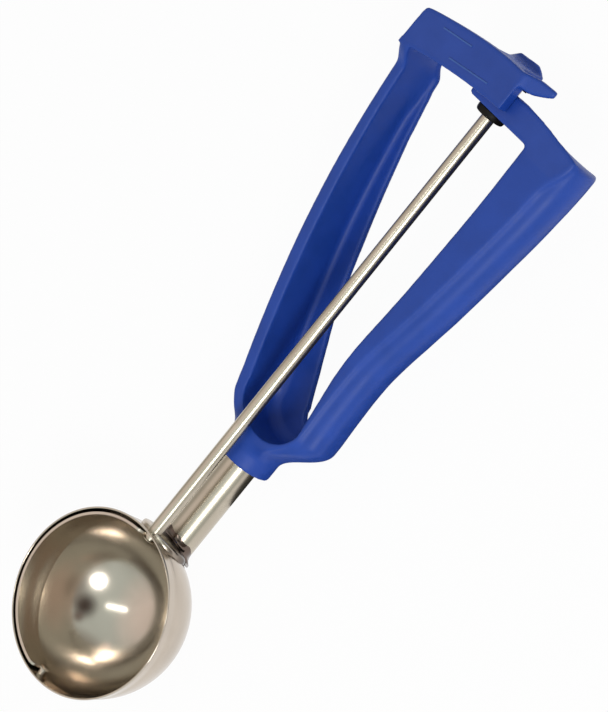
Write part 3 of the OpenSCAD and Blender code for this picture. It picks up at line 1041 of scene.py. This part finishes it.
    def grip_side(self, y: float) -> list[Flat]:
        """The grip's outer side, from the crease round to the back.

        Args:
            y: height along the spindle.

        Returns:
            Pairs of X and Z.
        """
        crease, front, back, round_r = self.crease(y), self.front(y), self.grip_back(y), self.end_r
        drop = min(0.99, ramp(y, self.end_y - round_r, self.end_y))
        out = self.grip_out(y) - round_r * (1 - math.sqrt(1 - drop**2))
        middle, inner = mix(front, back, 0.36), self.grip_in(y) + self.back_flat
        points = [(crease, front), (crease + 0.5, front - 0.15), (crease + 1, front - 0.8)]
        points += arc((crease + 1, middle), out - crease - 1, front - middle - 1.4, 80, 10, 12)
        return points + arc((inner, middle), out - inner, middle - back, 0, -90, 20)

    def grip_shell(self, y: float) -> list[Flat]:
        """The grip's outside, from its inner edge over the front to the back.

        Args:
            y: height along the spindle.

        Returns:
            Pairs of X and Z.
        """
        edge, front, back = self.grip_in(y), self.front(y), self.grip_back(y)
        points = [(edge, front - 1), (edge + 0.3, front - 0.3)]
        points += line((edge + 1, front), (self.crease(y), front), 10)
        return points + self.grip_side(y) + [(edge, back)]

    def grip_section(self, y: float) -> list[Point]:
        """The whole C-shaped section of the grip.

        Args:
            y: height along the spindle.

        Returns:
            A closed ring.
        """
        edge, out, crease, front = self.grip_in(y), self.grip_out(y), self.crease(y), self.front(y)
        back, wall = self.grip_back(y), self.grip_wall
        middle, inner = mix(front, back, 0.36), edge + self.back_flat
        points = self.grip_shell(y) + [(edge, back + wall)]
        points += arc((inner, middle), out - inner - wall, middle - back - wall, -90, 0, 16)
        points += arc((crease - 1, middle), out - crease + 1 - wall, front - middle - wall, 15, 90, 10)
        points += line((crease - 1.5, front - wall), (edge, front - wall), 8) + [(edge, front - wall)]
        return level(points, y)

    def limb_side(self, out: float, back: float, front: float, count: int) -> list[Flat]:
        """The limb's outer side, from its back corner up to the front.

        Args:
            out: X of the outer side.
            back: Z of the back.
            front: Z of the front.
            count: steps of the straight stretch.

        Returns:
            Pairs of X and Z.
        """
        corner = self.corner_r
        points = arc((out + corner, back + corner), corner, corner, 270, 180, 8)
        points += line((out, back + corner), (out, front - 1.2), count)[1:]
        return points + [(out, front - 1.2), (out + 0.35, front - 0.35)]

    def limb_section(self, y: float) -> list[Point]:
        """The section of the limb: a wall, a flange at its back and a rounded hollow.

        Args:
            y: height along the spindle.

        Returns:
            A closed ring.
        """
        out, front, back, wall, sheet = (self.limb_outer(y), self.limb_front(y), self.limb_back(y),
                                         self.rim(y), self.web_t)
        edge = out + self.flange(y)
        hollow = mix(self.hollow_r, self.limb_hollow_r, ease(ramp(y, self.seam_y, self.seam_y + 20)))
        hollow = min(hollow, edge - out - wall - 0.6)
        rise = hollow + 8.0 * ease(ramp(y, self.limb_top - 20, self.limb_top - 6))
        points = [(edge, back + 0.6), *line((edge - 0.6, back), (out + self.corner_r, back), 8)]
        points += self.limb_side(out, back, front, 10)
        points += line((out + 1.2, front), (out + wall - 0.7, front), 4)
        points += [(out + wall - 0.7, front), (out + wall - 0.2, front - 0.2)]
        points += line((out + wall, front - 0.7), (out + wall, back + sheet + rise), 10)
        points += arc((out + wall + hollow, back + sheet + rise), hollow, rise, 180, 270, 12)
        points += [(edge - 0.6, back + sheet), (edge, back + sheet - 0.6)]
        return level(points, y)

    def throat_section(self, y: float) -> list[Point]:
        """The closed section of the neck, which spreads into the width of both limbs.

        Args:
            y: height along the spindle.

        Returns:
            A closed ring.
        """
        left, right, front, back = self.limb_outer(y), self.crease(y), self.front(y), self.back
        outline = line((left + 1.2, front), (right - 2, front), 16) + [(right - 2, front)]
        outline += self.grip_side(y)
        outline += line((self.grip_in_low + self.back_flat - 1, back), (left + self.corner_r, back), 14)
        outline += self.limb_side(left, back, front, 12)
        to_right = ease(ramp(y, self.throat_y - 6.4, self.throat_y + 9.4))
        to_left = ease(ramp(y, self.throat_y - 2.6, self.throat_y + 6.0))
        rise_right = ease(ramp(y, self.throat_y - 7, self.throat_y + 0.2))
        rise_left = ease(ramp(y, self.throat_y - 5.5, self.throat_y + 2.2))
        ring = []
        for x, z in outline:
            angle = math.atan2(z + 14, x - 1)
            wide = mix(to_right, to_left, ramp(x, 6, -6))
            rise = mix(rise_right, rise_left, ramp(x, 3, -7))
            high = mix(wide, rise, ramp(z, -12, -5))
            ring.append((mix(self.neck_r * math.cos(angle), x, wide), y,
                         mix(self.neck_r * math.sin(angle) - self.tube_drop, z, high)))
        return ring

    def pocket_edge(self, inset: float) -> list[Flat]:
        """The outline of the pocket between the limbs.

        Args:
            inset: how far it is drawn in.

        Returns:
            Pairs of X and Y.
        """
        middle, top, wide = self.throat_y + self.throat_r, 112.0, self.throat_r + 0.6 - inset
        centre, deep = (self.throat_x, middle), self.throat_r - 0.5 - inset
        inner = self.limb_outer(middle) + self.rim(middle) + inset
        points = arc(centre, self.throat_x - inner, deep, 180, 270, 24)[:-1]
        points += arc(centre, wide, deep, 270, 360, 20)
        right = [(self.throat_x + wide, mix(middle, top, i / 10)) for i in range(1, 11)]
        far = [mix(top, middle, i / 16) for i in range(16)]
        return points + right + [(self.limb_outer(y) + self.rim(y) + inset, y) for y in far]

    def strap_outline(self) -> list[Flat]:
        """The front outline of the strap.

        Returns:
            Pairs of X and Y.
        """
        left, top, end = -self.limb_out, self.strap_top, self.strap_end
        low = top - self.strap_h
        points = bend((left - 0.4, self.limb_top - 0.5), (-14, low - 0.7), (end, low), 16)
        points += bend((end, top - 0.8), (-6, top + 0.3), (left + 2.6, top - 5.4), 16)
        return points + [(left + 1, top - 5.9), (left + 0.2, top - 6.8)]


@dataclass
class Handle:
    """The fixed half and the squeezing half of the blue moulding."""

    bench: Bench
    frame: dict
    form: HandleForm = field(default_factory=HandleForm)
    grain: float = 0.42
    rounds: int = 5

    def build(self) -> None:
        """Moulds both halves and dresses them."""
        self.fixed()
        self.lever()
        self.lines()
        dress(self.frame["nodes"]["gear_rack"], BLUE_NYLON)

    def throat(self, name: str) -> Piece:
        """Shapes the neck and throat, with the pocket and the round end of the gap cut out.

        Args:
            name: the new object's name.

        Returns:
            The mesh object.
        """
        form = self.form
        rings = [form.throat_section(mix(form.neck_y, form.seam_y, i / 48)) for i in range(49)]
        body = self.bench.loft(name, rings)
        floor, fillet = form.back + form.web_t, form.hollow_r
        levels = [(floor + fillet * (1 - math.cos(a)), fillet * (1 - math.sin(a)))
                  for a in (math.radians(9 * k) for k in range(11))]
        levels.append((form.front_top + 3, 0.0))
        pocket = self.bench.loft(f"{name}_pocket", [[(x, y, z) for x, y in form.pocket_edge(inset)]
                                                    for z, inset in levels])
        cut(body, pocket)
        cut(body, self.notch())
        return body

    def notch(self) -> Piece:
        """Shapes the round end of the gap between the limb's flange and the grip.

        Returns:
            The mesh that is cut away.
        """
        form = self.form
        levels = (112, 104, 98, 94, 91, 89, 87, 85.5, 84.6)
        outline = [(form.limb_outer(y) + form.flange(y), y) for y in levels]
        left, right = outline[-1][0], form.grip_in(84.6)
        outline += arc(((left + right) / 2, 84.6), (right - left) / 2, 5.2, 180, 360, 24)[1:]
        outline += [(right, 112)]
        return self.bench.slab("notch", outline, (form.back - 1, form.back + form.web_t + 0.5))

    def fixed(self) -> None:
        """Moulds the neck, the fixed grip and the cross arm as one piece."""
        form = self.form
        grip = [form.grip_section(mix(form.seam_y - 1.0, form.arm_y + 3, i / 110)) for i in range(111)]
        stub = [form.limb_section(mix(form.throat_y + form.throat_r, 92, i / 12)) for i in range(13)]
        parts = [self.throat("throat"), self.bench.loft("grip", grip), self.bench.loft("stub", stub)]
        cut(parts[-1], self.notch())
        levels = [mix(form.arm_y - 4, form.end_y - form.end_r, i / 8) for i in range(8)]
        levels += [mix(form.end_y - form.end_r, form.end_y, i / 8) for i in range(9)] + [form.arm_top]
        solid = [level(form.grip_shell(y), y) for y in levels]
        across = [mix(9.5, 32.6, i / 20) for i in range(21)]
        rim = [(x, form.arm_edge(x) + 0.3) for x in across]
        rim += [(across[-1], form.arm_y + 3), (20.5, form.arm_y + 0.6), (12, form.arm_y + 0.6)]
        plate = self.bench.slab("arm_rim", rim, (form.front_top - 3, form.front_top))
        arm, end = copy_node(self.frame, "cross_arm", "cross_arm_copy"), self.bench.loft("grip_end", solid)
        for top in (arm, end, plate):
            cut(top, self.arm_slope())
            parts.append(top)
        parts.append(copy_node(self.frame, "spindle_boss", "spindle_boss_copy"))
        made = mould("fixed_handle", parts, self.grain, self.rounds)
        middle, seam, _ = self.bench.at(form.gap_x, form.seam_y, 0)
        near = self.bench.at(0, 80, 0).y
        slice_off(made, seam, True, lambda p: p.x < middle and near < p.y < near + 30 * MM)
        deliver(made, 50, BLUE_NYLON, "frame", "handle_plastic",
                "handle_neck", "fixed_grip", "grip_end_wall", "cross_arm", "spindle_boss")

    def arm_slope(self) -> Piece:
        """Shapes what is taken off the arm's top, so that it falls away behind its front edge.

        Returns:
            The mesh that is cut away.
        """
        form, rings = self.form, []
        for i in range(41):
            x = mix(form.throat_x + 5, form.grip_out(form.arm_y) + 1, i / 40)
            fall = np.interp(x, (9, 17, 25, 29.2, 32.4, 36), (0.1, 0.42, 0.42, 0.18, 0.115, 0.06))
            edge, start = form.arm_edge(x), form.front_top - 0.3
            rings.append([(x, edge, start + 3), (x, edge + 30, start + 3), (x, edge + 30, -40.0),
                          (x, edge + (-40.0 - start) * fall, -40.0), (x, edge, start)])
        return self.bench.loft("arm_slope", rings)

    def lip(self) -> Piece:
        """Shapes the thumb lip, whose face turns back from the strap's face at a fold.

        Returns:
            The mesh object.
        """
        form, rings = self.form, []
        top, low = form.strap_top, form.strap_top - 4.3
        for i in range(23):
            x = mix(form.strap_end - 2.4, form.strap_end + 9.5, i / 22)
            reach = x - form.strap_end
            front = form.strap_front - 0.9 * ramp(reach, -0.3, 1.2) - 2.6 * ramp(reach, 1.0, 9.5)
            back = form.strap_back - 0.8 * ramp(reach, 0, 8)
            upper = np.interp(reach, (-2.4, 0, 3.2, 9.5), (top - 0.7, top - 0.2, top + 0.7, top + 1.1))
            lower = np.interp(reach, (-2.4, 1.0, 2.5, 3.7, 6.8, 9.5),
                              (low - 0.2, low - 0.4, low - 0.3, low, low + 1.6, low + 3.4))
            rings.append([(x, lower, back), (x, lower, front - 0.5), (x, lower + 0.5, front),
                          (x, upper - 0.4, front), (x, upper, front - 0.4), (x, upper, back)])
        return self.bench.loft("lip", rings)

    def dish(self) -> Piece:
        """Shapes the hollow between the strap's top edge and the hump behind it.

        Returns:
            The mesh object.
        """
        form, rings = self.form, []
        for i in range(15):
            x = mix(-11.4, 1.3, i / 14)
            hump = np.interp(x, (-12.4, -10.6, -9.0, -2.0, -0.2, 1.3), (-2.5, -0.5, 0.25, 1.0, 0.2, -1.4))
            hump += form.strap_top - 0.3
            edge = np.interp(x, (-11.4, -4, 1.3), (204.6, 205.4, 205.8))
            slant = 3.0 * ramp(x, -4, 1.3)
            under = form.strap_top - 3.5 + 0.6 * ramp(x, -4.5, -7.5)
            ring = [(x + slant, under, 6.2), (x, under, -7.4)]
            for k in range(11):
                z = mix(-7.4, 6.2, k / 10)
                side = (z + 1.2) / (6.2 if z < -1.2 else 7.4)
                rim = hump if z < -1.2 else edge
                deep = max(under + 0.5, min(hump, edge) - 1.9)
                ring.append((x + slant * k / 10, mix(deep, rim, side * side), z))
            rings.append(ring)
        return self.bench.loft("dish", rings)

    def lever(self) -> None:
        """Moulds the squeezing limb with its strap, thumb lip and rack carrier as one piece."""
        form = self.form
        low, high = form.throat_y + form.throat_r, form.limb_top + 2.5
        limb = [form.limb_section(mix(low, high, i / 110)) for i in range(111)]
        parts = [self.throat("throat"), self.bench.loft("limb", limb)]
        parts.append(self.bench.slab("strap", form.strap_outline(), (form.strap_back, form.strap_front)))
        parts += [self.block(), self.lip(), self.dish()]
        parts.append(copy_node(self.frame, "rack_carrier", "rack_carrier_copy"))
        made = mould("squeeze_handle", parts, self.grain, self.rounds)
        middle, seam, _ = self.bench.at(form.gap_x, form.seam_y, 0)
        slice_off(made, seam, False, lambda p: True)
        slice_off(made, seam + 0.5 * MM, False, lambda p: p.x > middle and p.y < seam + 0.4 * MM)
        smooth(made, 50)
        dress(made, BLUE_NYLON)
        start, end = self.bench.at(0, form.seam_y, 0), self.bench.at(0, form.seam_y + form.flex, 0)
        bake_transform(made)
        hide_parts("lever_root", "squeeze_lever", "strap", "thumb_lip", "rack_carrier")

    def block(self) -> Piece:
        """Shapes the strap's block on top of the limb, whose end falls away towards the back.

        Returns:
            The mesh object.
        """
        form = self.form
        left, width = -form.limb_out, form.flange(form.limb_top) + 0.3
        rings = []
        for i in range(9):
            z = mix(form.limb_back(form.limb_top), form.strap_front - 0.4, i / 8)
            top = form.strap_top - 4 - (form.strap_back - z) * math.tan(math.radians(14))
            low, mid, high = (min(top, form.strap_top - drop) for drop in (7.2, 6.0, 5.2))
            outline = ((left, form.limb_top), (left + width, form.limb_top + 0.24 * width),
                       (left + width, high), (left + 2.6, mid), (left + 0.4, low), (left, low - 0.6))
            rings.append([(x, y, z) for x, y in outline])
        return self.bench.loft("block", rings)

    def lines(self) -> None:
        """Lays the two thin raised lines on the strap, in a lighter blue that is a painted highlight."""
        form, bars = self.form, []
        left, face = -form.limb_out, form.strap_front
        levels = ((face - 0.3, 1.0), (face + 0.15, 1.0), (face + 0.25, 0.98))
        for x, y, length in ((left + 9.6, form.arm_y + 8.7, 11.7), (left + 17.4, form.arm_y + 3.5, 15.7)):
            turn = math.radians(8.2)
            along, up = Vector((math.cos(turn), math.sin(turn))), Vector((-math.sin(turn), math.cos(turn)))
            corners = ((0, 0), (length, 0), (length, 0.45), (0, 0.45))
            outline = [Vector((x, y)) + along * a + up * b for a, b in corners]
            middle = sum(outline, Vector((0, 0))) / 4
            rings = [[(*(middle + (p - middle) * share), z) for p in outline] for z, share in levels]
            bars.append(self.bench.loft("strap_line", rings))
        deliver(join("strap_lines", bars), 30, HIGHLIT_NYLON, "lever", "handle_plastic")


# ---------------------------------------------------------------- studio


class LampFace(Enum):
    """Outlines of a soft box, by Blender's name."""

    ROUND = "ELLIPSE"
    SQUARE = "RECTANGLE"


@dataclass(frozen=True)
class SoftBox:
    """One area lamp.

    Attributes:
        name: the lamp's name.
        way: direction from the scoop to the lamp.
        aim: height along the spindle that it faces, in millimetres.
        size: width and height of its face in millimetres.
        light: share of full light that it gives to a surface facing it.
        tint: colour of its light.
        face: outline of its face.
        reach: distance from the scoop in millimetres.
        mirrored: whether steel reflects it.
    """

    name: str
    way: Point
    aim: float
    size: Flat
    light: float
    tint: Colour = (1.0, 1.0, 1.0)
    face: LampFace = LampFace.ROUND
    reach: float = 900.0
    mirrored: bool = True

    @property
    def power(self) -> float:
        """Watts that give the light at that distance."""
        return self.light * (math.pi * self.reach * MM) ** 2


@dataclass(frozen=True)
class Flag:
    """A soft patch of the tent that steel reflects.

    Attributes:
        way: direction of its middle.
        inner: half its full width in degrees.
        outer: where it has faded away, in degrees.
        tone: its colour.
    """

    way: Point
    inner: float
    outer: float
    tone: Colour


@dataclass
class Studio:
    """Floor, world, lamps and camera."""

    bench: Bench
    eye: Point = (501.04, 329.81, 805.26)
    right: Point = (0.584, 0.6096, -0.5361)
    up: Point = (-0.63, 0.7568, 0.1742)
    back: Point = (0.5119, 0.236, 0.826)
    lens: float = 169.03
    daylight: float = 0.42
    floor_size: float = 6.0
    floor_gap: float = 0.0005
    floor_tone: Colour = (0.9, 0.9, 0.9)
    floor_glow: float = 0.96
    matt: float = 0.9
    card_place: Point = (14, 118, -28.2)
    card_size: Flat = (50, 150)
    card_tone: Colour = (0.03, 0.028, 0.025)
    boxes: tuple[SoftBox, ...] = (
        SoftBox("key", (0.741, -0.102, 0.664), 0, (240, 240), 0.34),
        SoftBox("overhead", (0.16, 0.10, 0.98), 0, (54, 420), 0.07, (0.96, 1.0, 0.97), LampFace.SQUARE),
        SoftBox("side", (0.87, -0.25, 0.35), 100, (90, 500), 0.05, (1.0, 0.98, 0.94), mirrored=False),
    )
    tent_radius: float = 1900.0
    tent_tone: Colour = (0.69, 0.78, 0.765)
    flags: tuple[Flag, ...] = (
        Flag((-0.5, -0.3, 0.8), 10.0, 50.0, (0.95, 0.87, 0.83)),
        Flag((0.62, 0.44, 0.65), 5.0, 19.0, (0.06, 0.04, 0.035)),
        Flag((0.50, 0.68, 0.54), 1.0, 9.0, (0.2, 0.15, 0.14)),
        Flag((-0.38, 0.66, 0.65), 2.0, 8.0, (1.5, 1.3, 1.2)),
        Flag((-0.9, -0.1, 0.15), 10.0, 35.0, (0.45, 0.42, 0.37)),
        Flag((0.95, 0.2, 0.05), 15.0, 40.0, (0.25, 0.22, 0.2)),
        Flag((-0.2, 0.95, 0.15), 15.0, 40.0, (0.3, 0.27, 0.24)),
    )

    def build(self) -> None:
        """Builds the whole studio."""
        for step in (self.camera, self.floor, self.tent, self.card, self.world, self.lamps):
            step()

    @staticmethod
    def prop(made: Piece, name: str, cloth: str, mirrored_only: bool) -> Tree:
        """Names a prop and gives it a fresh material.

        Args:
            made: the prop.
            name: its name.
            cloth: its material's name.
            mirrored_only: whether only reflections show it.

        Returns:
            The material's tree.
        """
        made.name = name
        if mirrored_only:
            made.visible_camera = made.visible_diffuse = made.visible_shadow = False
            made.visible_transmission = made.visible_volume_scatter = False
        material, tree = new_material(cloth)
        made.data.materials.append(material)
        return tree

    def card(self) -> None:
        """Lays the dark card beside the tube, which gives the rods their dark edge in reflections."""
        deselect()
        bpy.ops.mesh.primitive_plane_add(size=1.0, location=self.bench.at(*self.card_place))
        made = bpy.context.object
        made.scale = (self.card_size[0] * MM, self.card_size[1] * MM, 1.0)
        pick(made)
        bpy.ops.object.transform_apply(location=True, rotation=True, scale=True)
        shader = self.prop(made, "card", "card_board", True).nodes["Principled BSDF"]
        shader.inputs["Base Color"].default_value = (*self.card_tone, 1.0)
        shader.inputs["Roughness"].default_value = self.matt

    def tent(self) -> None:
        """Hangs the tent round the scoop, which only reflections show."""
        deselect()
        bpy.ops.mesh.primitive_uv_sphere_add(segments=48, ring_count=24, radius=self.tent_radius * MM)
        tree = self.prop(bpy.context.object, "tent", "tent_cloth", True)
        tree.nodes.remove(tree.nodes["Principled BSDF"])
        place = add(tree, "TexCoord").outputs["Object"]
        unit = add(tree, "VectorMath", {0: place}, operation="NORMALIZE").outputs["Vector"]
        tone = self.tent_tone
        for flag in self.flags:
            way = Vector(flag.way).normalized()
            dot = add(tree, "VectorMath", {0: unit}, {1: way}, operation="DOT_PRODUCT").outputs["Value"]
            near, far = math.cos(math.radians(flag.inner)), math.cos(math.radians(flag.outer))
            tone = blended(tree, spread(tree, dot, 0.0, 1.0, far, near), tone, flag.tone)
        glow = add(tree, "Emission", {"Color": tone})
        tree.links.new(glow.outputs["Emission"], tree.nodes["Material Output"].inputs["Surface"])

    def camera(self) -> None:
        """Places the camera."""
        data = bpy.data.cameras.new("camera")
        data.lens = self.lens
        data.sensor_width = 36.0
        data.clip_start, data.clip_end = 0.05, 20.0
        made = bpy.data.objects.new("camera", data)
        bpy.context.scene.collection.objects.link(made)
        turn = Matrix((self.right, self.up, self.back)).transposed().to_4x4()
        made.matrix_world = Matrix.Translation(self.bench.at(*self.eye)) @ turn
        bpy.context.scene.camera = made

    def floor(self) -> None:
        """Lays the plain white floor, which keeps the scoop's shadow."""
        deselect()
        bpy.ops.mesh.primitive_plane_add(size=self.floor_size, location=(0, 0, -self.floor_gap))
        tree = self.prop(bpy.context.object, "floor", "floor_paper", False)
        shader = tree.nodes["Principled BSDF"]
        shader.inputs["Base Color"].default_value = (*self.floor_tone, 1.0)
        shader.inputs["Roughness"].default_value = self.matt
        shader.inputs["Specular IOR Level"].default_value = 0.0
        share = add(tree, "Math", {0: self.seen(tree)}, {1: self.floor_glow}, operation="MULTIPLY").outputs[0]
        glow = add(tree, "Emission").outputs["Emission"]
        blend = add(tree, "MixShader", {"Fac": share, 1: shader.outputs["BSDF"], 2: glow})
        tree.links.new(blend.outputs["Shader"], tree.nodes["Material Output"].inputs["Surface"])

    @staticmethod
    def seen(tree: Tree) -> Socket:
        """1 for what the camera sees, straight or through a mirror or glass.

        Args:
            tree: the tree that gets the nodes.

        Returns:
            The socket of that value.
        """
        path = add(tree, "LightPath").outputs
        first = add(tree, "Math", {0: path["Is Camera Ray"], 1: path["Is Glossy Ray"]}, operation="MAXIMUM")
        both = {0: first.outputs[0], 1: path["Is Transmission Ray"]}
        return add(tree, "Math", both, operation="MAXIMUM").outputs[0]

    def world(self) -> None:
        """Lights the scene evenly, and shows white where nothing stands."""
        world = bpy.data.worlds.new("studio")
        bpy.context.scene.world = world
        world.use_nodes = True
        tree = world.node_tree
        white = {"Color": (1.0, 1.0, 1.0, 1.0), "Strength": 1.0}
        plain, bright = tree.nodes["Background"], add(tree, "Background", values=white)
        plain.inputs["Color"].default_value = white["Color"]
        plain.inputs["Strength"].default_value = self.daylight
        sources = {"Fac": self.seen(tree), 1: plain.outputs["Background"], 2: bright.outputs["Background"]}
        blend = add(tree, "MixShader", sources)
        tree.links.new(blend.outputs["Shader"], tree.nodes["World Output"].inputs["Surface"])
        bpy.context.scene.view_settings.view_transform = "Standard"

    def lamps(self) -> None:
        """Hangs the soft boxes, each turned towards its place on the spindle."""
        for box in self.boxes:
            data = bpy.data.lights.new(box.name, "AREA")
            data.shape = box.face.value
            data.size, data.size_y = box.size[0] * MM, box.size[1] * MM
            data.energy = box.power
            data.color = box.tint
            made = bpy.data.objects.new(box.name, data)
            bpy.context.scene.collection.objects.link(made)
            aim, way = self.bench.at(0, box.aim, 0), Vector(box.way).normalized()
            made.location = aim + way * box.reach * MM
            made.visible_glossy = box.mirrored
            made.rotation_mode = "QUATERNION"
            made.rotation_quaternion = (-way).to_track_quat("-Z", "Y")


# ---------------------------------------------------------------- assembly


def main() -> None:
    """Loads the frame and builds the scoop round it."""
    logging.basicConfig(level=logging.INFO, format="%(name)s %(message)s")
    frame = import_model()
    bench = Bench.from_bowl(BowlSet.radius)
    BowlSet(bench).build()
    ShaftSet(bench).build(frame)
    Handle(bench, frame).build()
    Studio(bench).build()


if __name__ == "__main__":
    main()
